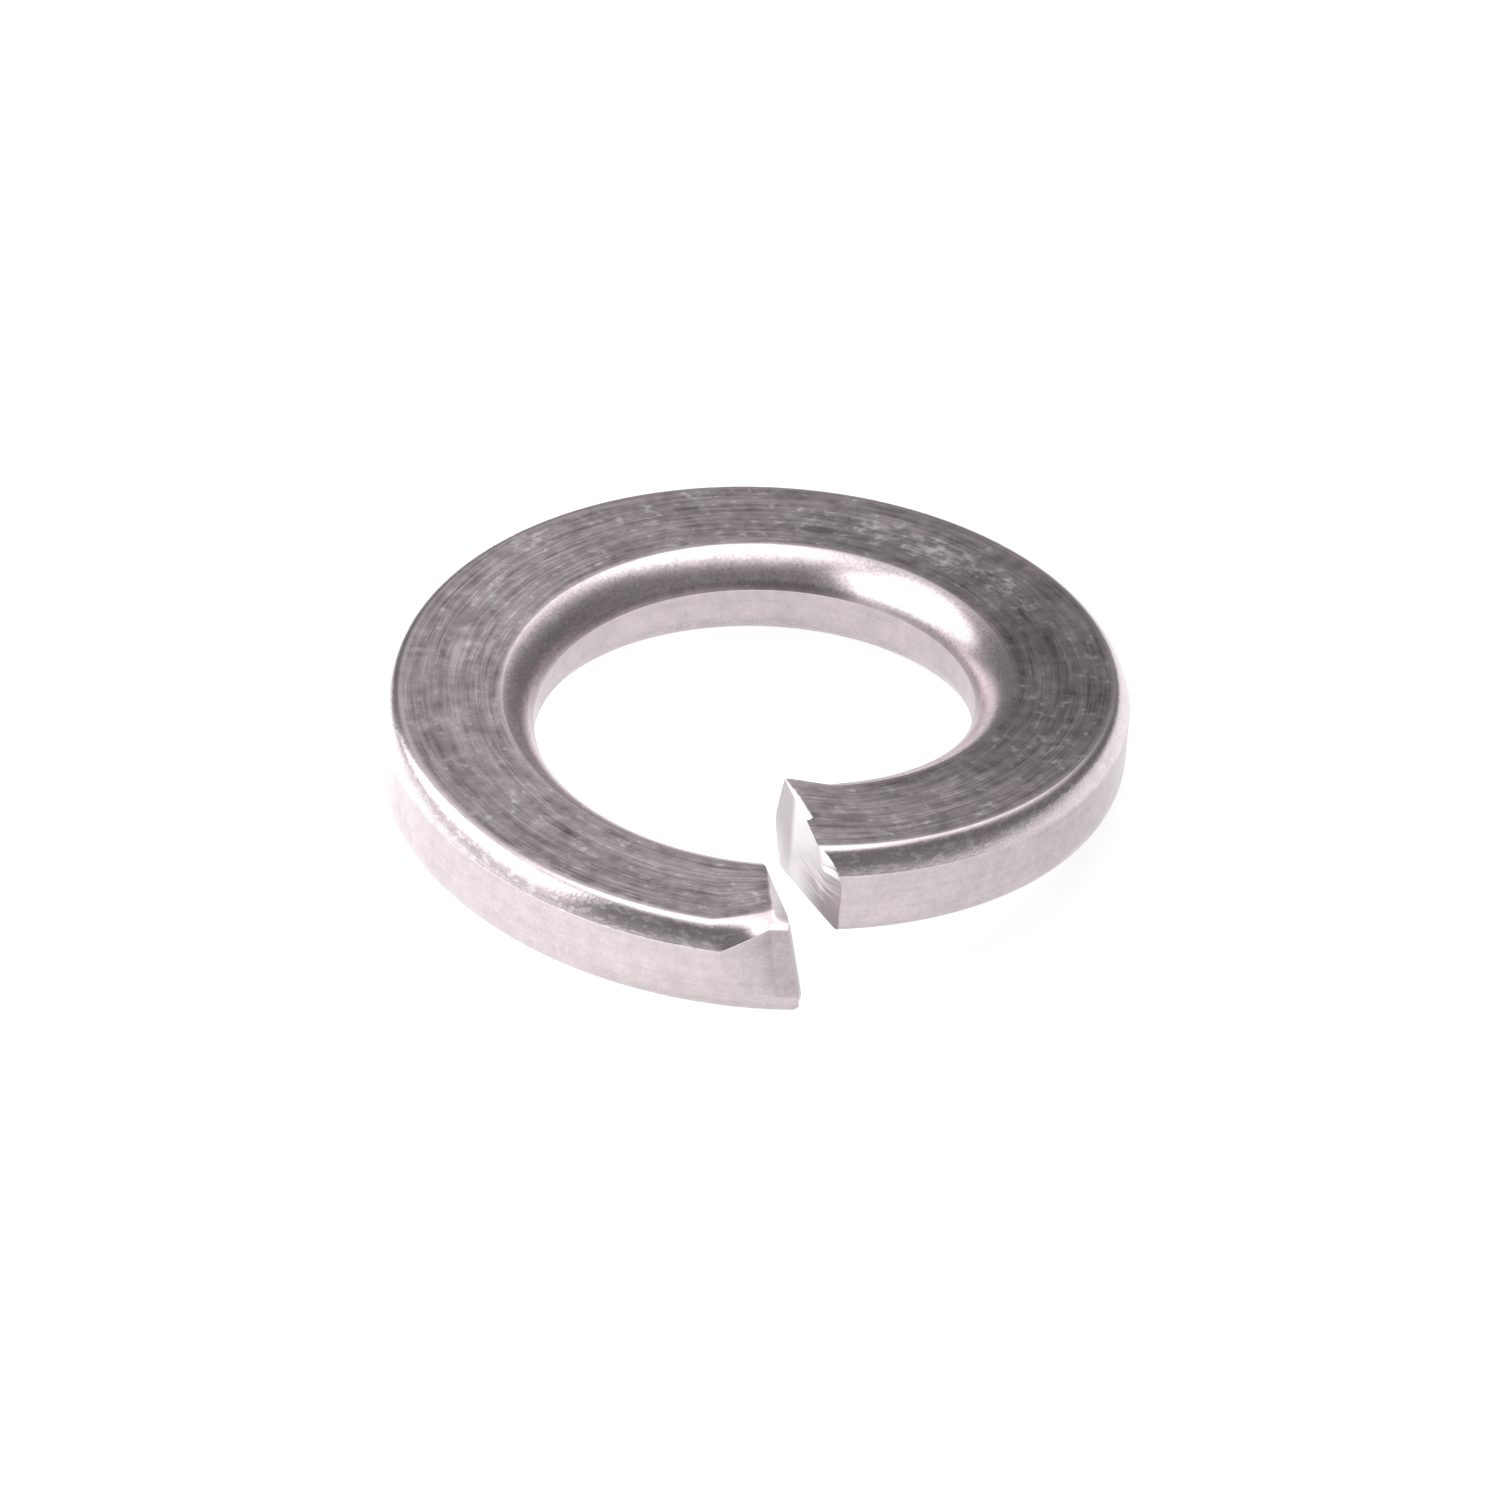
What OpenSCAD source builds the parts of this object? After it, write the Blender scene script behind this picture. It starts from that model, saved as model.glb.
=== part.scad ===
// Spring lock washer, size M8: one turn of rounded square section steel with a slanted cut across it.
// The axis of the bore is Z. The cut is at the front, on the -Y side. The coil is left-hand: going
// counter-clockwise from the high end, seen from above, it runs down to the low end.

/* [Ring] */
// diameter over the outside of the coil
outer_d = 14.5; // [14.2:0.1:15.4]
// clear diameter of the bore
bore_d = 8.5; // [8.1:0.1:8.9]
// thickness of the section along the axis
thickness = 1.9; // [1.85:0.05:2.3]

/* [Coil] */
// how far the coil falls along the axis over one full turn
turn_fall = 1.88; // [1.5:0.01:2.6]
// how far the middle of the coil hangs below an even fall
dip = 0.1; // [0:0.01:0.4]

/* [Corners of the section] */
// width of each outer corner rounding, across the flat
outer_corner_w = 0.3; // [0.2:0.02:0.5]
// height of each outer corner rounding, down the outside wall
outer_corner_h = 0.8; // [0.5:0.02:0.84]
// width of each inner corner rounding, across the flat
inner_corner_w = 0.56; // [0.4:0.02:0.8]
// height of each inner corner rounding, down the bore wall
inner_corner_h = 0.68; // [0.5:0.02:0.84]

/* [Cut] */
// opening between the two ends, square to their faces at half thickness
gap = 0.32; // [0.32:0.02:0.6]
// angle of the cut from the radius, seen from above
cut_slant = 11; // [0:0.5:20]
// lean of the low end's face, which brings its lower edge forward
low_lean = 10; // [0:0.5:12]

/* [Hidden] */
outer_r = outer_d / 2;
bore_r = bore_d / 2;
mid_r = (outer_r + bore_r) / 2;
half_t = thickness / 2;
// steps round the coil and in each corner
turn_steps = 90;
corner_steps = 4;
// part of the corner curve that is used: it leaves the flat and meets the wall at a small angle
corner_from = 10;
corner_to = 80;
// each wall starts with a small bevel: it begins inside the wall and ends in spare metal beyond it
bevel_in = 0.02;
bevel_out = 0.08;
$fn = 180;

// height of the coil's middle line at angle a, which runs from -90 at the cut to 270
function fall(a) = let (u = (a + 90) / 360) turn_fall * (0.5 - u) - dip * 4 * u * (1 - u);

// one point of a corner, as a share of its width and height, from the flat to the wall
function share(t) = [
    (sin(t) - sin(corner_from)) / (sin(corner_to) - sin(corner_from)),
    (cos(corner_from) - cos(t)) / (cos(corner_from) - cos(corner_to))
];

// corner from the flat at radius flat_r down to height h below it; side is 1 outwards and -1 inwards
function corner(flat_r, side, w, h) = let (out = min(bevel_out, (half_t - h - bevel_in) / 2)) concat(
    [for (i = [0:corner_steps]) let (s = share(corner_from + (corner_to - corner_from) * i / corner_steps))
        [flat_r + side * (w - bevel_in) * s[0], half_t - h * s[1]]],
    [[flat_r + side * (w + out), half_t - h - bevel_in - out]]
);

function mirrored(points) = [for (p = points) [p[0], -p[1]]];
function reversed(points) = [for (i = [len(points) - 1:-1:0]) points[i]];

outer_top = corner(outer_r - outer_corner_w, 1, outer_corner_w, outer_corner_h);
inner_top = corner(bore_r + inner_corner_w, -1, inner_corner_w, inner_corner_h);
// the section as radius and height, once round it
section = concat(
    outer_top,
    reversed(mirrored(outer_top)),
    mirrored(inner_top),
    reversed(inner_top)
);

// the cut's middle plane lies this far from the axis, measured square to it
cut_shift = -mid_r * sin(cut_slant);
// height of the low end's middle, about which its face leans
low_mid = fall(270);

// angle at which a radius r meets a plane at the distance d from the axis, beside the cut
function meet(d, r) = cut_slant - acos(d / r);
// the blank's ends run a little into the opening, which then cuts them to length
extra = 0.04;
function high_angle(p) = meet(cut_shift + gap / 2 - extra, p[0]);
function low_angle(p, face = extra - gap / 2, a = 270, n = 4) = n == 0 ? a : low_angle(
    p,
    face,
    360 + meet(cut_shift + face - tan(low_lean) * (fall(a) + p[1] - low_mid), p[0]),
    n - 1
);

// the lowest corner of the low end sets how far the coil is lifted to stand on the ground plane
lowest_a = [for (r = [bore_r + inner_corner_w, outer_r - outer_corner_w]) low_angle([r, -half_t], -gap / 2)];
lift = half_t - fall(max(lowest_a));

module coil_blank() {
    count = len(section);
    points = [
        for (i = [0:turn_steps])
            for (p = section)
                let (
                    from = high_angle(p),
                    to = low_angle(p),
                    a = from + (to - from) * i / turn_steps
                )
                [p[0] * cos(a), p[0] * sin(a), fall(a) + p[1] + lift]
    ];
    sides = [
        for (i = [0:turn_steps - 1])
            for (j = [0:count - 1])
                let (
                    k = (j + 1) % count,
                    q0 = i * count + j,
                    q1 = i * count + k,
                    q2 = (i + 1) * count + k,
                    q3 = (i + 1) * count + j
                )
                each [[q0, q2, q1], [q0, q3, q2]]
    ];
    high_face = [for (j = [0:count - 1]) j];
    low_face = [for (j = [count - 1:-1:0]) turn_steps * count + j];
    polyhedron(points = points, faces = concat(sides, [high_face], [low_face]), convexity = 6);
}

// the opening: its high side is upright and its low side leans
module opening() {
    bottom = -half_t - 0.1;
    top = turn_fall + half_t + 0.5;
    rotate([0, 0, cut_slant])
    translate([cut_shift, -bore_r + 1.2, low_mid + lift])
    rotate([90, 0, 0])
    linear_extrude(outer_r - bore_r + 3)
    polygon([
        [gap / 2, bottom],
        [gap / 2, top],
        [-gap / 2 - tan(low_lean) * top, top],
        [-gap / 2 - tan(low_lean) * bottom, bottom]
    ]);
}

// washer of square section with rounded corners, one turn, with true round walls and flat ends
module lock_washer() {
    height = turn_fall + thickness + dip + 4;
    color([0.72, 0.71, 0.72])
    difference() {
        intersection() {
            coil_blank();
            translate([0, 0, -2]) rotate([0, 0, -90]) cylinder(r = outer_r, h = height);
        }
        translate([0, 0, -3]) rotate([0, 0, -90]) cylinder(r = bore_r, h = height + 2);
        opening();
    }
}

lock_washer();
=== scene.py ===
import math

import bpy
import numpy as np
from mathutils import Matrix, Vector


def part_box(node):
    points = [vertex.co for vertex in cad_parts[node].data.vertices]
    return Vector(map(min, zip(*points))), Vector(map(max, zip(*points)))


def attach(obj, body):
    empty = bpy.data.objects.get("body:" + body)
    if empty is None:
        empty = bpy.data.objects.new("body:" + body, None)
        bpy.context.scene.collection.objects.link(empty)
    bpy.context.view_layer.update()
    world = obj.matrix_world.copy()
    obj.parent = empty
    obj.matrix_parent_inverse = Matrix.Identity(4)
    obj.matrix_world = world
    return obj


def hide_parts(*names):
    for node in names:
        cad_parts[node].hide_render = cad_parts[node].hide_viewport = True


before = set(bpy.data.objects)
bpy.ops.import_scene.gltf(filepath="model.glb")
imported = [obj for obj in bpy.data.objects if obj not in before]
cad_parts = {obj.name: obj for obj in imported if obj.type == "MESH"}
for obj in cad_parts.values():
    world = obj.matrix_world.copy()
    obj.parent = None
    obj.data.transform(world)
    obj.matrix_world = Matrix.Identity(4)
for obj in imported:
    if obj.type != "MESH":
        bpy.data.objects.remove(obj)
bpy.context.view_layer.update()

MM = 0.001
# sizes of the washer in millimetres, the same as the part's source
OUT_R = 7.25
BORE_R = 4.25
MID_R = (OUT_R + BORE_R) / 2
HALF_T = 0.95
FALL = 1.88
DIP = 0.1
# length of the coil along its middle
ARC = 2 * math.pi * MID_R
# flats end at these radii, and the corner roundings go this far down the walls
FLAT_IN = BORE_R + 0.68
FLAT_OUT = OUT_R - 0.36
OUT_H = 0.48
IN_H = 0.65
# how each corner turns from the flat to the wall: share of its length, slope of its normal in degrees
OUT_TURN = ((0, 90), (0.04, 78), (0.25, 50), (0.45, 32), (1, 18))
FOOT_TURN = ((0, 90), (0.05, 78), (0.25, 50), (0.45, 30), (0.7, 12), (1, 0))
IN_TURN = ((0, 90), (0.03, 73), (0.38, 50), (1, 19))

# the mesh: columns across a flat and round a corner, levels up a wall, steps round the coil
FLAT_N = 22
CORNER_N = 16
WALL_N = 9
TURN_N = 560
COLUMNS = 2 * CORNER_N + FLAT_N - 2
# how much the steps bunch up towards both ends, where the detail is
BUNCH = 0.62

# length of coil in which the shear has dragged the flat's edge inwards before the low end
DRAG_FROM = 1.2
DRAG_TO = 0.3
DRAG_IN = 0.5
DRAG_MOST = 1.25
# length of coil in which the outer top corner turns into a soft slope, its shift inwards and its fall
SOFT_FROM = 1.1
SOFT_TO = 0.3
SOFT_IN = 0.33
SOFT_FALL = 0.06
SOFT_LIP = 0.03
# the tall bevel beside the high end: length along the coil, extra width, height and bend
SHARP_LENGTH = 1.5
SHARP_IN = 0.27
SHARP_H = 1.08
SHARP_BEND = 1.12
# the high end's chip and tear, and the low end's rolled edge
CHIP_W = 0.15
CHIP_FALL = 0.8
TEAR_R = 6.02
ROLL_W = 0.3
ROLL_DROP = 0.14
# slopes of the cut faces' edges, seen from above, and the lean of the low end's face
HIGH_TOP_SLOPE = 0.124
HIGH_FOOT_SLOPE = 0.374
LOW_SLOPE = 0.166
LOW_LEAN = 0.2
# in the texture, u is the radius plus this on the high end's face, and plus twice this on the low end's
CAP_U = 20


def fall(a):
    """Height of the coil's middle line at angle a in radians, before it is lifted."""
    u = (a + math.pi / 2) / (2 * math.pi)
    return FALL * (0.5 - u) - DIP * 4 * u * (1 - u)


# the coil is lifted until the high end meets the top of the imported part's box
_, box_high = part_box("lock_washer")
LIFT = box_high.z / MM - HALF_T - fall(-math.pi / 2)


def smooth(x, a, b):
    t = np.clip((x - a) / (b - a), 0, 1)
    return t * t * (3 - 2 * t)


def corner(flat_r, wall_r, h, turn):
    """Points from the flat to the wall round one corner, as radius and drop below the flat."""
    s = np.linspace(0, 1, 401)
    slope = np.interp(s, [k[0] for k in turn], [k[1] for k in turn])
    out = np.concatenate([[0], np.cumsum(np.sin(np.radians(slope[1:])))])
    down = np.concatenate([[0], np.cumsum(np.cos(np.radians(slope[1:])))])
    # points stand closer where the corner turns faster
    spread = s + (90 - slope) / 90
    at = np.interp(np.linspace(0, spread[-1], CORNER_N), spread, s)
    out = np.interp(at, s, out / out[-1])
    down = np.interp(at, s, down / down[-1])
    return flat_r + (wall_r - flat_r) * out, h * down


def section(to_low):
    """Columns across the section from the bore wall to the outside wall: radius, top and bottom height.

    Close to the low end the shear has dragged the outer top corner down into a soft slope, with an
    upright wall under it. to_low is the length of coil left before that end.
    """
    drag = float(np.clip((DRAG_FROM - to_low) / (DRAG_FROM - DRAG_TO), 0, DRAG_MOST))
    soft = float(np.clip((SOFT_FROM - to_low) / (SOFT_FROM - SOFT_TO), 0, 1))
    flat_out = FLAT_OUT - DRAG_IN * drag
    wall_r = OUT_R - SOFT_IN * soft
    # beside the high end the shear has pulled the inner top corner into a sharp, tall bevel
    sharp = float(smooth(np.array(ARC - to_low), SHARP_LENGTH, 0.0))
    flat_in = FLAT_IN - SHARP_IN * sharp
    x = np.linspace(0, 1, CORNER_N)
    ri, di = corner(flat_in, BORE_R, IN_H, IN_TURN)
    ri = ri * (1 - sharp) + (flat_in + (BORE_R - flat_in) * x) * sharp
    di = di * (1 - sharp) + SHARP_H * x**SHARP_BEND * sharp
    ro, do = corner(flat_out, wall_r, OUT_H, OUT_TURN)
    r_soft = flat_out + (wall_r - flat_out) * x
    d_soft = SOFT_FALL * x + SOFT_LIP * x**4
    ro = ro * (1 - soft) + r_soft * soft
    do = do * (1 - soft) + d_soft * soft
    # the lower corners stay the same all round
    rb_in, db_in = corner(FLAT_IN, BORE_R, IN_H, IN_TURN)
    rb_out, db_out = corner(FLAT_OUT, OUT_R, OUT_H, FOOT_TURN)
    flat = np.linspace(flat_in, flat_out, FLAT_N)
    flat_b = np.linspace(FLAT_IN, FLAT_OUT, FLAT_N)
    level = np.full(FLAT_N - 2, HALF_T)
    r_top = np.concatenate([ri[::-1], flat[1:-1], ro])
    z_top = np.concatenate([HALF_T - di[::-1], level, HALF_T - do])
    r_bot = np.concatenate([rb_in[::-1], flat_b[1:-1], rb_out])
    z_bot = -np.concatenate([HALF_T - db_in[::-1], level, HALF_T - db_out])
    return r_top, z_top, r_bot, z_bot


def grid(to_low):
    """The section as a grid of points, columns by levels, so that a cap can use the same rim."""
    r_top, z_top, r_bot, z_bot = section(to_low)
    # levels stand closer near the corners
    v = 0.5 - 0.5 * np.cos(np.linspace(0, math.pi, WALL_N))[None, :]
    r = r_bot[:, None] * (1 - v) + r_top[:, None] * v
    z = z_bot[:, None] * (1 - v) + z_top[:, None] * v
    return r, z


def rim_index():
    """Grid places round the rim: up the outside wall, along the top to the bore, down it, and back below."""
    last = COLUMNS - 1
    path = [(last, j) for j in range(WALL_N)]
    path += [(i, WALL_N - 1) for i in range(last - 1, -1, -1)]
    path += [(0, j) for j in range(WALL_N - 2, -1, -1)]
    path += [(i, 0) for i in range(1, last)]
    return path


def high_cut(r, z):
    """How far across the opening the high end's face stands at radius r and height z in the section.

    Its upper and lower edges are two lines with a bend near the bore. The face lies between them, and
    its upper part is cut back beside the outside wall.
    """
    top = -0.08 + HIGH_TOP_SLOPE * (r - 4.68) - 0.055 * smooth(r, 5.4, 4.66)
    foot = -0.14 + HIGH_FOOT_SLOPE * np.maximum(r - 4.86, 0) - 0.05 * np.maximum(4.86 - r, 0)
    v = np.clip((HALF_T - z) / (2 * HALF_T), 0, 1)
    x = top * (1 - v) + foot * v
    return x + 0.22 * smooth(r, 6.85, 7.25) * smooth(z, -0.7, 0.3)


def low_cut(r, z):
    """The same for the low end's face, which leans so that its foot reaches forward."""
    x = -0.425 + LOW_SLOPE * (r - 4.85) - 0.27 * smooth(r, 6.3, 7.3)
    x = x + LOW_LEAN * (HALF_T - z)
    # its lowest corner is worn round
    return x - 0.2 * smooth(-z, 0.6, 0.95) ** 2 * smooth(r, 6.4, 7.2)


def end_angles(r, z):
    """Angles at which the section's points meet the high and the low end's face."""
    a_high = np.arcsin(high_cut(r, z) / r) - math.pi / 2
    a_low = np.arcsin(low_cut(r, z) / r) + 1.5 * math.pi
    return a_high, a_low


def worn_edges(r, z, from_high, to_low):
    """How far the shear has pressed down the top's edges at the two ends.

    The high end has a narrow chip that widens outwards and stops short at a tear. The low end's edge is
    rolled over, more so outwards.
    """
    on_top = smooth(z, HALF_T - 0.4, HALF_T - 0.02)
    chip = 0.02 + CHIP_W * np.clip((r - 4.7) / 1.3, 0, 1) * (r < TEAR_R)
    lost = CHIP_FALL * chip * np.clip(1 - from_high / chip, 0, 1) * (r < TEAR_R)
    roll = 0.01 + ROLL_W * np.clip((r - 4.9) / 1.5, 0, 1)
    rolled = ROLL_DROP / ROLL_W * roll * np.clip(1 - to_low / roll, 0, 1) ** 1.2
    rolled = rolled * (1 - smooth(r, 6.45, 6.75))
    return on_top * (lost + rolled)


def place(r, z, t):
    """Section points at the share t of the way from the high end to the low end, in millimetres.

    Gives the points, their angles round the axis, and how far the shear has pressed each one down.
    """
    a_high, a_low = end_angles(r, z)
    a = a_high + (a_low - a_high) * t
    x = r * np.cos(a)
    y = r * np.sin(a)
    worn = worn_edges(r, z, (a - a_high) * r, (a_low - a) * r)
    return np.stack([x, y, fall(a) + z + LIFT - worn], -1), a, worn


def rim_values(ci, top):
    """What the material reads at the rim's points: flat, outer corner, painted corner highlight and painted
    crease shade.

    ci holds the points' columns, and top says which of them are on the upper side.
    """
    first_out = COLUMNS - CORNER_N
    # 1 on both flats
    flat = np.zeros(COLUMNS)
    flat[CORNER_N:first_out] = 1
    # the outer top corner gets rougher from the flat to the wall
    outer = np.zeros(COLUMNS)
    outer[first_out:] = smooth(np.linspace(0, 1, CORNER_N), 0.1, 0.5)
    # painted highlight: the top corners' colour is made brighter than the flats and the walls, and fades
    # where they meet them
    rounded = np.zeros(COLUMNS)
    rounded[:CORNER_N] = 1
    rounded[first_out:] = 1
    rounded[[CORNER_N - 1, first_out]] = 0.4
    rounded[[0, COLUMNS - 1]] = 0.5
    # painted shade: a dark line in the colour where the inner top corner meets the bore wall
    crease = np.isin(ci, (1, 2)) * top
    return flat[ci], outer[ci] * top, rounded[ci] * top, crease


def cap(end, path, base):
    """One end's face, a grid that shares the rim's points: its other points, its quads and their UVs."""
    t = float(end)
    r, z = grid((1 - t) * ARC)
    p = place(r, z, t)[0]
    index = np.full(r.shape, -1)
    for q, (i, j) in enumerate(path):
        index[i, j] = end * TURN_N * len(path) + q
    inner = [(i, j) for i in range(1, COLUMNS - 1) for j in range(1, WALL_N - 1)]
    for q, (i, j) in enumerate(inner):
        index[i, j] = base + q
    quads = []
    uvs = []
    for i in range(COLUMNS - 1):
        for j in range(WALL_N - 1):
            cell = [(i, j), (i + 1, j), (i + 1, j + 1), (i, j + 1)]
            if end == 1:
                cell.reverse()
            quads.append(tuple(int(index[c]) for c in cell))
            uvs.append(tuple((CAP_U * (1 + end) + r[c], z[c]) for c in cell))
    return np.array([p[c] for c in inner]), quads, uvs


def build_washer():
    path = rim_index()
    ci = np.array([p[0] for p in path])
    cj = np.array([p[1] for p in path])
    flat, outer, rounded, crease = rim_values(ci, cj == WALL_N - 1)
    share = np.linspace(0, 1, TURN_N + 1)
    steps = share - BUNCH / (2 * math.pi) * np.sin(2 * math.pi * share)
    rings = []
    arcs = []
    worn = []
    corners = []
    for t in steps:
        to_low = (1 - t) * ARC
        r, z = grid(to_low)
        p, a, pressed = place(r[ci, cj], z[ci, cj], t)
        rings.append(p)
        arcs.append(a)
        worn.append(pressed)
        # the dragged corner at the low end is smooth
        corners.append(outer * smooth(np.array(to_low), SOFT_TO, SOFT_FROM))
    # distance round the rim, for the texture
    r0, z0 = grid(ARC / 2)
    rim = np.stack([r0[ci, cj], z0[ci, cj]], -1)
    step = np.linalg.norm(np.roll(rim, -1, 0) - rim, axis=1)
    along = np.concatenate([[0], np.cumsum(step)])
    m = len(path)
    faces = []
    uvs = []
    for i in range(TURN_N):
        for j in range(m):
            k = (j + 1) % m
            faces.append((i * m + j, (i + 1) * m + j, (i + 1) * m + k, i * m + k))
            ua = arcs[i][j] * MID_R
            ub = arcs[i + 1][j] * MID_R
            uvs.append(((ua, along[j]), (ub, along[j]), (ub, along[j + 1]), (ua, along[j + 1])))
    sides = len(faces)
    points = [np.concatenate(rings)]
    for end in (0, 1):
        more, quads, quad_uvs = cap(end, path, sum(len(p) for p in points))
        points.append(more)
        faces += quads
        uvs += quad_uvs
    verts = np.concatenate(points) * MM
    mesh = bpy.data.meshes.new("washer_body")
    mesh.from_pydata(verts.tolist(), [], faces)
    mesh.update()
    layer = mesh.uv_layers.new(name="brush")
    layer.data.foreach_set("uv", [c for quad in uvs for uv in quad for c in uv])
    cut = mesh.attributes.new("cut_face", "FLOAT", "FACE")
    cut.data.foreach_set("value", [0.0] * sides + [1.0] * (len(faces) - sides))
    values = {
        "flat": np.tile(flat, TURN_N + 1),
        "outer_corner": np.concatenate(corners),
        "rounded": np.tile(rounded, TURN_N + 1),
        "crease": np.tile(crease, TURN_N + 1),
        "worn_edge": smooth(np.concatenate(worn), 0.0, 0.03),
    }
    # the caps' inner points have none of these
    spare = np.zeros(len(verts) - (TURN_N + 1) * m)
    for name, value in values.items():
        layer = mesh.attributes.new(name, "FLOAT", "POINT")
        layer.data.foreach_set("value", np.concatenate([value, spare]))
    mesh.validate()
    for poly in mesh.polygons:
        poly.use_smooth = True
    body = bpy.data.objects.new("washer_body", mesh)
    bpy.context.scene.collection.objects.link(body)
    return body


def node_kit(tree):
    """Short makers for a node tree: new node, link, maths and a smooth ramp."""
    def new(kind, **values):
        n = tree.nodes.new(kind)
        for key, value in values.items():
            setattr(n, key, value)
        return n

    def link(a, b):
        tree.links.new(a, b)

    def math_node(op, a, b=None, c=None):
        n = new("ShaderNodeMath", operation=op)
        for i, v in enumerate((a, b, c)):
            if v is None:
                continue
            if isinstance(v, (int, float)):
                n.inputs[i].default_value = v
            else:
                link(v, n.inputs[i])
        return n.outputs[0]

    def ramp(value, lo, hi, out_lo=0.0, out_hi=1.0):
        n = new("ShaderNodeMapRange", interpolation_type="SMOOTHSTEP")
        link(value, n.inputs[0])
        for i, v in ((1, lo), (2, hi), (3, out_lo), (4, out_hi)):
            n.inputs[i].default_value = v
        return n.outputs[0]

    return new, link, math_node, ramp


STEEL = (0.55, 0.487, 0.5)
PALE = (0.99, 0.98, 0.98)
# grey of the torn metal, also used for the painted shade on the high end's face
TORN_AND_SHADE_GREY = (0.42, 0.375, 0.385)
# painted highlight: how much the round top corners' colour is brightened; painted shade: how much the brushed
# flats' colour is darkened
PAINTED_CORNER_HIGHLIGHT = 0.45
PAINTED_FLAT_SHADE = -0.22
ROUGH_FLAT = 0.25
ROUGH_BARE = 0.22
ROUGH_CUT = 0.5
# the brushed lines spread light across them
BRUSHED = 0.6
BUMP_STRENGTH = 0.6
BUMP_DEPTH = 0.014 * MM
# where the two end faces start in the texture
HIGH_CAP = float(CAP_U)
LOW_CAP = 2.0 * CAP_U


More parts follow.
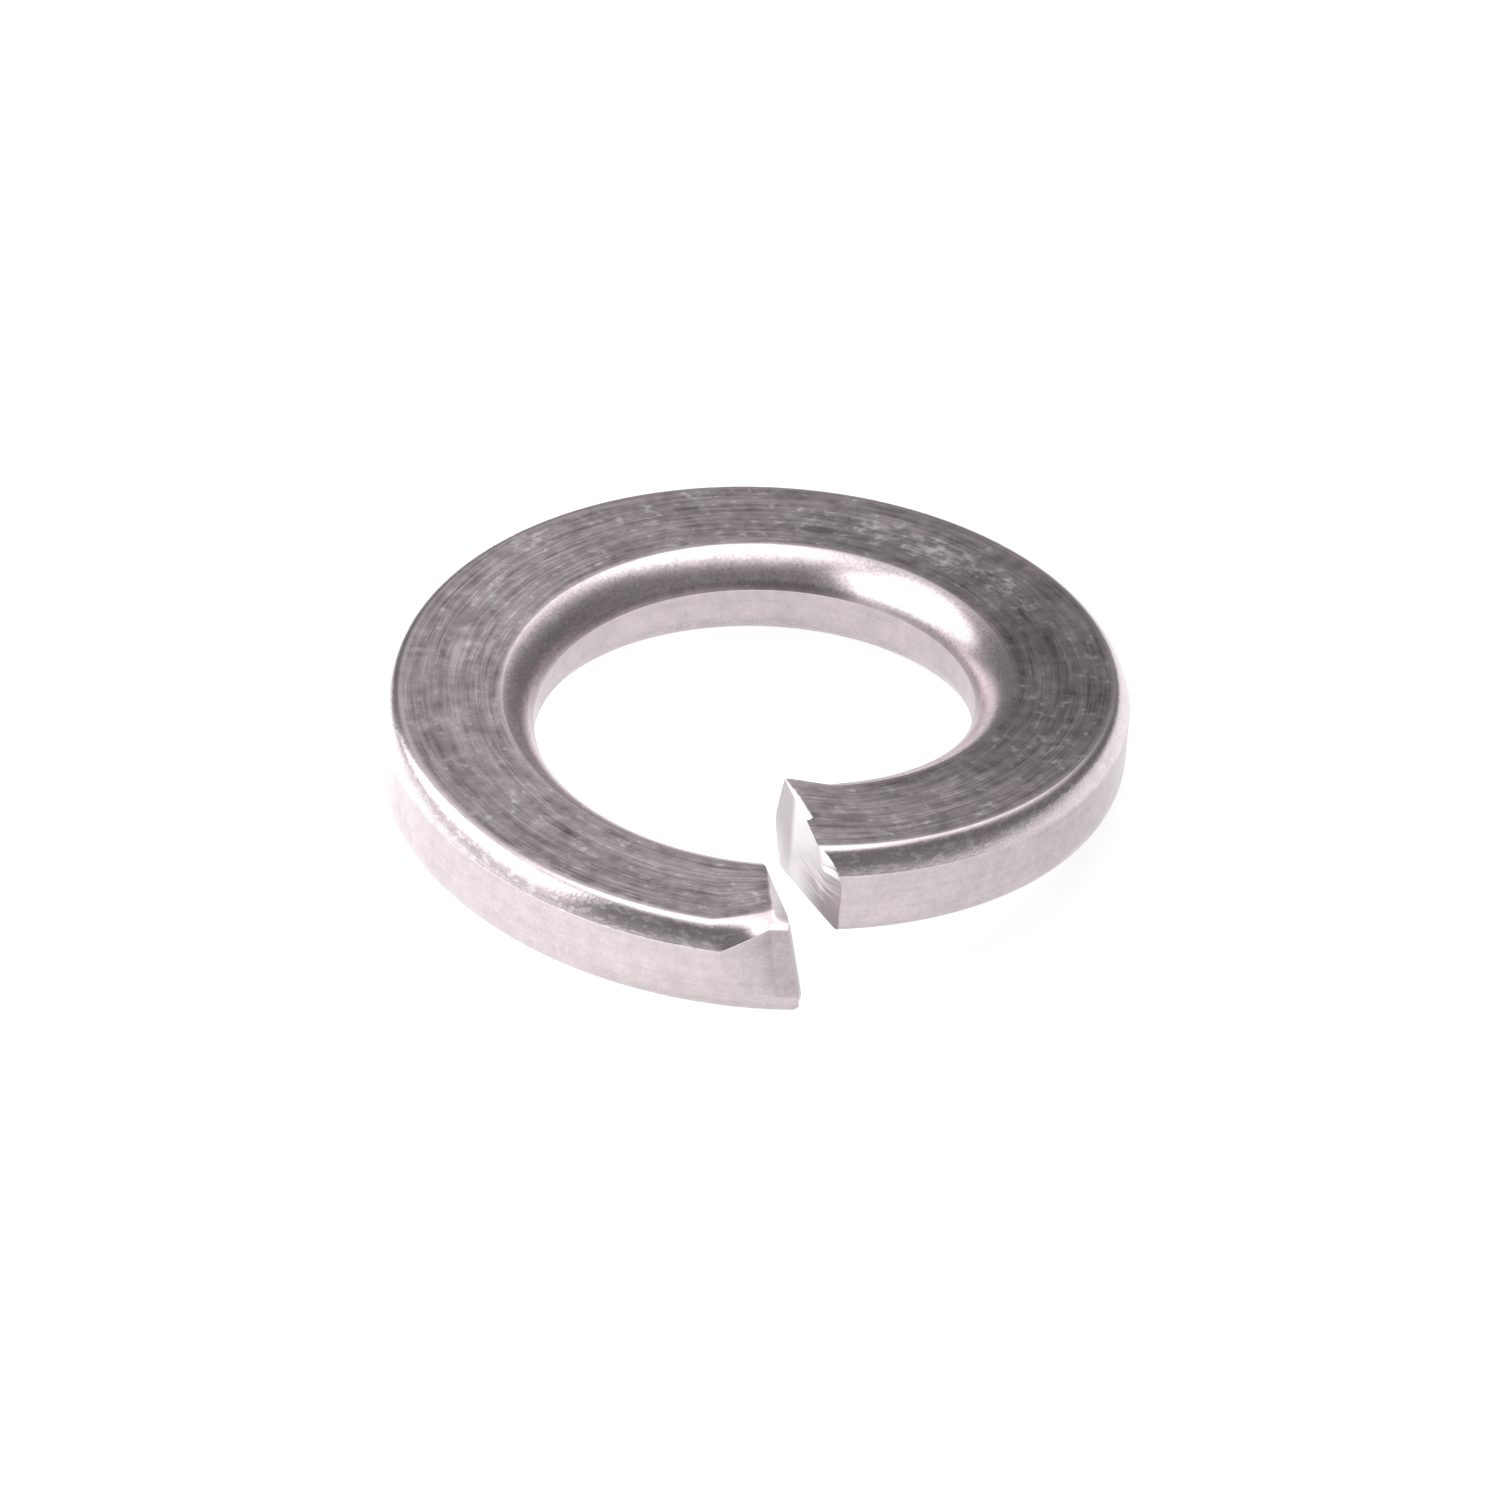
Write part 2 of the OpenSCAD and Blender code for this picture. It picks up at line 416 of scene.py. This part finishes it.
def steel_material():
    mat = bpy.data.materials.new("bright_steel")
    mat.use_nodes = True
    tree = mat.node_tree
    tree.nodes.clear()
    new, link, mth, ramp = node_kit(tree)
    out = new("ShaderNodeOutputMaterial")
    bsdf = new("ShaderNodeBsdfPrincipled")
    bsdf.inputs["Metallic"].default_value = 1.0
    # brushed lines run round the ring
    bsdf.inputs["Anisotropic"].default_value = BRUSHED
    bsdf.inputs["Anisotropic Rotation"].default_value = 0.25
    link(bsdf.outputs[0], out.inputs[0])
    uv = new("ShaderNodeUVMap", uv_map="brush")
    coord = new("ShaderNodeTexCoord")
    mm = new("ShaderNodeVectorMath", operation="SCALE")
    link(coord.outputs["Object"], mm.inputs[0])
    mm.inputs["Scale"].default_value = 1 / MM
    tangent = new("ShaderNodeTangent", direction_type="UV_MAP", uv_map="brush")
    link(tangent.outputs[0], bsdf.inputs["Tangent"])

    def streaks(length, width, detail, seed):
        m = new("ShaderNodeMapping")
        link(uv.outputs[0], m.inputs[0])
        m.inputs["Scale"].default_value = (1 / length, 1 / width, 1)
        m.inputs["Location"].default_value = (seed, seed * 0.7, 0)
        n = new("ShaderNodeTexNoise", noise_dimensions="2D")
        link(m.outputs[0], n.inputs["Vector"])
        n.inputs["Scale"].default_value = 1.0
        n.inputs["Detail"].default_value = detail
        n.inputs["Roughness"].default_value = 0.6
        return n.outputs[0]

    def grains(size, detail, seed):
        n = new("ShaderNodeTexNoise", noise_dimensions="3D")
        shift = new("ShaderNodeVectorMath", operation="ADD")
        link(mm.outputs[0], shift.inputs[0])
        shift.inputs[1].default_value = (seed, seed * 1.7, seed * 0.3)
        link(shift.outputs[0], n.inputs["Vector"])
        n.inputs["Scale"].default_value = 1 / size
        n.inputs["Detail"].default_value = detail
        return n.outputs[0]

    def mesh_value(name):
        return new("ShaderNodeAttribute", attribute_name=name).outputs["Fac"]

    def blend(share, a, b):
        """Mix of two colours, each a socket or written out."""
        n = new("ShaderNodeMix", data_type="RGBA")
        link(share, n.inputs[0])
        for i, v in ((6, a), (7, b)):
            if isinstance(v, tuple):
                n.inputs[i].default_value = (*v, 1)
            else:
                link(v, n.inputs[i])
        return n.outputs[2]

    on_cut = mesh_value("cut_face")
    on_edge = mesh_value("worn_edge")
    on_flat = mth("MULTIPLY", mesh_value("flat"), mth("SUBTRACT", 1.0, mth("MAXIMUM", on_cut, on_edge)))
    on_corner = mth("MULTIPLY", mesh_value("outer_corner"), mth("SUBTRACT", 1.0, on_edge))
    place_mm = new("ShaderNodeSeparateXYZ")
    link(mm.outputs[0], place_mm.inputs[0])
    px, py, _ = place_mm.outputs
    radius = mth("SQRT", mth("ADD", mth("MULTIPLY", px, px), mth("MULTIPLY", py, py)))
    turn = mth("MULTIPLY", mth("ARCTAN2", py, px), 180 / math.pi)

    # tone of the metal: brushed lines on the flats, faint clouds and grain elsewhere
    fine = mth("SUBTRACT", streaks(1.3, 0.045, 2.0, 3.0), 0.5)
    middle = mth("SUBTRACT", streaks(2.6, 0.12, 2.0, 11.0), 0.5)
    broad = mth("SUBTRACT", streaks(4.0, 0.4, 2.0, 23.0), 0.5)
    grain = mth("SUBTRACT", grains(0.06, 1.0, 5.0), 0.5)
    mottle = mth("SUBTRACT", grains(0.3, 3.0, 61.0), 0.5)
    cloud = mth("SUBTRACT", grains(0.9, 2.0, 17.0), 0.5)
    lines = mth("MULTIPLY_ADD", middle, 0.8, mth("MULTIPLY_ADD", fine, 0.8, mth("MULTIPLY", broad, 0.8)))
    lines = mth("MULTIPLY_ADD", mottle, 1.1, mth("MULTIPLY_ADD", cloud, 0.6, lines))
    plain = mth("MULTIPLY_ADD", mottle, 0.3, mth("MULTIPLY", cloud, 0.2))
    on_inner = mth("MULTIPLY", ramp(radius, 4.95, 4.75), ramp(radius, 4.26, 4.34))
    plain = mth("MULTIPLY_ADD", grain, mth("MULTIPLY_ADD", on_inner, 0.5, 0.25), plain)
    plain = mth("MULTIPLY_ADD", middle, 0.15, plain)
    # painted shade: the tone is lowered by a further 0.3 along the crease by the bore wall
    plain = mth("SUBTRACT", plain, mth("MULTIPLY_ADD", mesh_value("crease"), 0.3, 0.05))
    tone = mth("MULTIPLY_ADD", on_flat, mth("SUBTRACT", lines, plain), plain)
    # painted highlight on the round top corners and painted shade on the flats, by scaling the steel's colour
    level = mth("MULTIPLY_ADD", mesh_value("rounded"), PAINTED_CORNER_HIGHLIGHT, 1.0)
    level = mth("MULTIPLY_ADD", on_flat, PAINTED_FLAT_SHADE, level)
    tone = mth("MULTIPLY", mth("ADD", tone, 1.0), level)
    lit = new("ShaderNodeVectorMath", operation="SCALE")
    lit.inputs[0].default_value = STEEL
    link(tone, lit.inputs["Scale"])

    # pale rubbed specks, thickest in one patch on the far right
    patch_r = mth("MULTIPLY", ramp(radius, 5.3, 5.8), ramp(radius, 6.5, 6.0))
    patch_a = mth("MULTIPLY", ramp(turn, 5.0, 25.0), ramp(turn, 100.0, 70.0))
    patch = mth("MULTIPLY", patch_r, patch_a)
    long_blob = mth("MULTIPLY", streaks(0.4, 0.12, 1.0, 43.0), 0.3)
    blob = mth("MULTIPLY_ADD", grains(0.2, 2.0, 41.0), 0.7, long_blob)
    cluster = mth("MULTIPLY_ADD", cloud, 0.35, mth("MULTIPLY", patch, mth("MULTIPLY_ADD", broad, 0.2, 0.09)))
    speck = mth("MULTIPLY", ramp(mth("ADD", cluster, blob), 0.54, 0.84), 0.6)
    # bright grains on the outer rounded corner
    fleck = mth("MULTIPLY", ramp(streaks(0.2, 0.11, 1.0, 71.0), 0.5, 0.72), mth("MULTIPLY", on_corner, 0.4))
    speck = mth("MULTIPLY_ADD", on_flat, speck, fleck)

    # the high end's face: sheared bright, with painted shade greying it towards the bore, torn grey at the
    # outer foot
    face = new("ShaderNodeSeparateXYZ")
    link(uv.outputs[0], face.inputs[0])
    face_u, face_z, _ = face.outputs
    # painted shade: the face's colour greys towards the bore, less so near its foot
    inner = mth("MULTIPLY", ramp(face_u, HIGH_CAP + 5.35, HIGH_CAP + 5.1), ramp(face_z, -1.3, 0.1))
    low = mth("MULTIPLY_ADD", streaks(1.2, 0.1, 2.0, 51.0), 1.5, face_z)
    low = mth("SUBTRACT", low, ramp(face_u, HIGH_CAP + 6.4, HIGH_CAP + 7.2, 0.0, 0.7))
    torn = mth("MULTIPLY", ramp(low, 0.9, 0.05), ramp(face_u, HIGH_CAP + 5.4, HIGH_CAP + 6.6, 0.03, 1.0))
    torn = mth("MULTIPLY", torn, ramp(face_u, HIGH_CAP + 12.0, HIGH_CAP + 10.0))
    # the low end's face is dull along its outer edge only
    torn = mth("MAXIMUM", torn, ramp(face_u, LOW_CAP + 6.3, LOW_CAP + 6.9, 0.0, 0.7))
    dull_and_shade = mth("MULTIPLY", mth("MAXIMUM", mth("MULTIPLY", inner, 0.6), torn), on_cut)
    # the low end's rolled edge is duller than the high end's chip; off the faces, u is the way round the coil
    rolled = mth("MULTIPLY", on_edge, ramp(face_u, 10.0, 20.0, 0.0, 0.4))
    dull_and_shade = mth("MAXIMUM", dull_and_shade, mth("MULTIPLY", rolled, mth("SUBTRACT", 1.0, on_cut)))

    bare = mth("MAXIMUM", on_cut, mth("MULTIPLY", on_edge, 0.85))
    skin = blend(speck, lit.outputs[0], PALE)
    link(blend(bare, skin, blend(dull_and_shade, PALE, TORN_AND_SHADE_GREY)), bsdf.inputs["Base Color"])

    rough = mth("MULTIPLY_ADD", on_flat, ROUGH_FLAT - ROUGH_BARE, ROUGH_BARE)
    rough = mth("MULTIPLY_ADD", speck, 0.15, rough)
    rough = mth("MULTIPLY_ADD", on_corner, 0.04, rough)
    rough = mth("ADD", rough, ramp(radius, 5.1, 4.6, 0.0, 0.07))
    rough = mth("MULTIPLY_ADD", bare, ROUGH_CUT - ROUGH_BARE, rough)
    link(rough, bsdf.inputs["Roughness"])

    height = mth("MULTIPLY", on_flat, mth("MULTIPLY_ADD", fine, 0.3, mth("MULTIPLY", middle, 0.4)))
    height = mth("MULTIPLY_ADD", grain, mth("MULTIPLY_ADD", on_corner, 0.18, 0.12), height)
    bump = new("ShaderNodeBump")
    bump.inputs["Strength"].default_value = BUMP_STRENGTH
    bump.inputs["Distance"].default_value = BUMP_DEPTH
    link(height, bump.inputs["Height"])
    link(bump.outputs[0], bsdf.inputs["Normal"])
    return mat


# edges that turn by more degrees than this are split, such as the crease where a corner meets its wall
SPLIT_ANGLE = 15

body = build_washer()
body.data.materials.append(steel_material())
mod = body.modifiers.new("crease", "EDGE_SPLIT")
mod.split_angle = math.radians(SPLIT_ANGLE)
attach(body, "root")
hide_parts("lock_washer")

# the floor is the plane on which the washer lies: its low tip, and two points further back
FLOOR_NORMAL = Vector((-0.047, -0.07, 0.996)).normalized()
FLOOR_HALF = 0.6
FLOOR_COLOUR = 0.52
# painted light: glow of the floor where it is seen, stronger on the left as if under the lamp, and weaker
# away from it
GLOW_LEFT = 1.2
GLOW_MIDDLE = 0.82
# share of that on the right
GLOW_RIGHT = 0.72


def make_floor():
    mesh = bpy.data.meshes.new("floor")
    size = FLOOR_HALF
    corners = [(-size, -size, 0), (size, -size, 0), (size, size, 0), (-size, size, 0)]
    mesh.from_pydata(corners, [], [(0, 1, 2, 3)])
    floor = bpy.data.objects.new("floor", mesh)
    bpy.context.scene.collection.objects.link(floor)
    turn = Vector((0, 0, 1)).rotation_difference(FLOOR_NORMAL).to_matrix().to_4x4()
    verts = np.array([v.co for v in body.data.vertices])
    lowest = float((verts @ np.array(FLOOR_NORMAL)).min())
    floor.matrix_world = Matrix.Translation(FLOOR_NORMAL * lowest) @ turn
    mat = bpy.data.materials.new("white_floor")
    mat.use_nodes = True
    tree = mat.node_tree
    tree.nodes.clear()
    new, link, mth, ramp = node_kit(tree)
    out = new("ShaderNodeOutputMaterial")
    diffuse = new("ShaderNodeBsdfDiffuse")
    diffuse.inputs[0].default_value = (FLOOR_COLOUR, FLOOR_COLOUR, FLOOR_COLOUR, 1)
    glow = new("ShaderNodeEmission")
    glow.inputs[0].default_value = (1, 1, 1, 1)
    path = new("ShaderNodeLightPath")
    seen = mth("ADD", path.outputs["Is Camera Ray"], path.outputs["Is Glossy Ray"])
    seen = mth("ADD", seen, path.outputs["Is Transmission Ray"])
    spot = new("ShaderNodeTexCoord")
    spot_x = new("ShaderNodeSeparateXYZ")
    link(spot.outputs["Object"], spot_x.inputs[0])
    # painted light: the floor's glow rises towards the lamp on the left and falls off to the right
    level = ramp(spot_x.outputs[0], 2 * MM, -9 * MM, GLOW_MIDDLE, GLOW_LEFT)
    level = mth("MULTIPLY", level, ramp(spot_x.outputs[0], 3 * MM, 14 * MM, 1.0, GLOW_RIGHT))
    link(mth("MULTIPLY", mth("MINIMUM", seen, 1.0), level), glow.inputs[1])
    both = new("ShaderNodeAddShader")
    link(diffuse.outputs[0], both.inputs[0])
    link(glow.outputs[0], both.inputs[1])
    link(both.outputs[0], out.inputs[0])
    mesh.materials.append(mat)
    return floor


make_floor()

# strengths of the studio: lamps on the left and overhead, the far side, and what is below the floor
LEFT_LAMP = 2.4
OVERHEAD = 1.5
FAR_LOW = 0.09
FAR_HIGH = 0.86
BELOW = 0.9
STUDIO_COLOUR = (1.0, 0.99, 1.0)
# the far side's brightness on the left and right of the camera's line of sight
FAR_LEFT = 0.72
FAR_RIGHT = 1.5
# cosine and sine of the camera's azimuth
SIGHT_COS = 0.984
SIGHT_SIN = 0.178


def studio_world():
    """A plain studio round the washer: pale lamps overhead and on the left, a darker camera side."""
    world = bpy.data.worlds.new("studio")
    bpy.context.scene.world = world
    world.use_nodes = True
    tree = world.node_tree
    tree.nodes.clear()
    new, link, mth, ramp = node_kit(tree)
    out = new("ShaderNodeOutputWorld")
    back = new("ShaderNodeBackground")
    link(back.outputs[0], out.inputs[0])
    coord = new("ShaderNodeTexCoord")
    xyz = new("ShaderNodeSeparateXYZ")
    link(coord.outputs["Generated"], xyz.inputs[0])
    x, y, z = xyz.outputs
    # elevation, and azimuth from -X going clockwise seen from above: 0 is left, 90 is far, -90 is near
    el = mth("MULTIPLY", mth("ARCSINE", z), 180 / math.pi)
    az = mth("MULTIPLY", mth("ARCTAN2", y, mth("MULTIPLY", x, -1.0)), 180 / math.pi)

    def panel(a0, a1, e0, e1, soft, level):
        left = mth("MULTIPLY", ramp(az, a0 - soft, a0 + soft), ramp(az, a1 + soft, a1 - soft))
        up = mth("MULTIPLY", ramp(el, e0 - soft, e0 + soft), ramp(el, e1 + soft, e1 - soft))
        return mth("MULTIPLY", mth("MULTIPLY", left, up), level)

    # the far side is brighter higher up and a little to the right
    far = ramp(y, -0.15, 0.35)
    across = mth("SUBTRACT", mth("MULTIPLY", x, SIGHT_COS), mth("MULTIPLY", y, SIGHT_SIN))
    grey = mth("MULTIPLY", far, ramp(el, 27.0, 48.0, FAR_LOW, FAR_HIGH))
    grey = mth("MULTIPLY", grey, ramp(across, -0.2, 0.2, FAR_LEFT, FAR_RIGHT))
    grey = mth("MULTIPLY", grey, ramp(across, 0.25, 0.6, 1.0, 0.25))
    horizon = mth("MULTIPLY", far, ramp(el, 10.0, 2.0, 0.0, 0.1))
    total = mth("ADD", mth("ADD", grey, horizon), ramp(y, 0.2, -0.4, 0.12, 0.175))
    total = mth("ADD", total, panel(-30, 45, 13, 54, 6, LEFT_LAMP))
    total = mth("ADD", total, ramp(el, 58.0, 74.0, 0.0, OVERHEAD))
    total = mth("ADD", total, mth("MULTIPLY", ramp(el, 0.0, -6.0), BELOW))
    link(total, back.inputs[1])
    back.inputs[0].default_value = (*STUDIO_COLOUR, 1)


studio_world()

# camera fitted to the photograph: a long lens, a third of a metre away
EYE_EL = 0.59847
EYE_ROLL = -0.08267
EYE_AZ = math.radians(10.25)
EYE_D = 49.29508
EYE_F = 18429.15
EYE_SHIFT = (0.00952, 0.08043)
IMAGE = 1500
SENSOR = 36
# the fit's unit of length, and how far its origin is above the coil's middle before the lift
FIT_R = 7.25
FIT_UP = 0.0535


def add_camera():
    cos_roll = math.cos(EYE_ROLL)
    sin_roll = math.sin(EYE_ROLL)
    roll = Matrix(((cos_roll, -sin_roll, 0), (sin_roll, cos_roll, 0), (0, 0, 1)))
    sin_el = math.sin(EYE_EL)
    cos_el = math.cos(EYE_EL)
    look = Matrix(((1, 0, 0), (0, sin_el, cos_el), (0, cos_el, -sin_el)))
    turn = Matrix.Rotation(EYE_AZ, 3, "Z")
    axes = roll @ look @ turn
    t = Vector((EYE_SHIFT[0], EYE_SHIFT[1], EYE_D)) * FIT_R * MM
    place_at = -(axes.transposed() @ t)
    place_at.z += (LIFT + FIT_UP) * MM
    cam = bpy.data.cameras.new("camera")
    cam.sensor_width = SENSOR
    cam.lens = EYE_F / IMAGE * SENSOR
    cam.clip_start = 0.01
    cam.clip_end = 10
    ob = bpy.data.objects.new("camera", cam)
    rows = (axes[0], axes[1], -axes[2])
    ob.matrix_world = Matrix.Translation(place_at) @ Matrix(rows).transposed().to_4x4()
    bpy.context.scene.collection.objects.link(ob)
    bpy.context.scene.camera = ob


add_camera()
bpy.context.scene.view_settings.view_transform = "Standard"
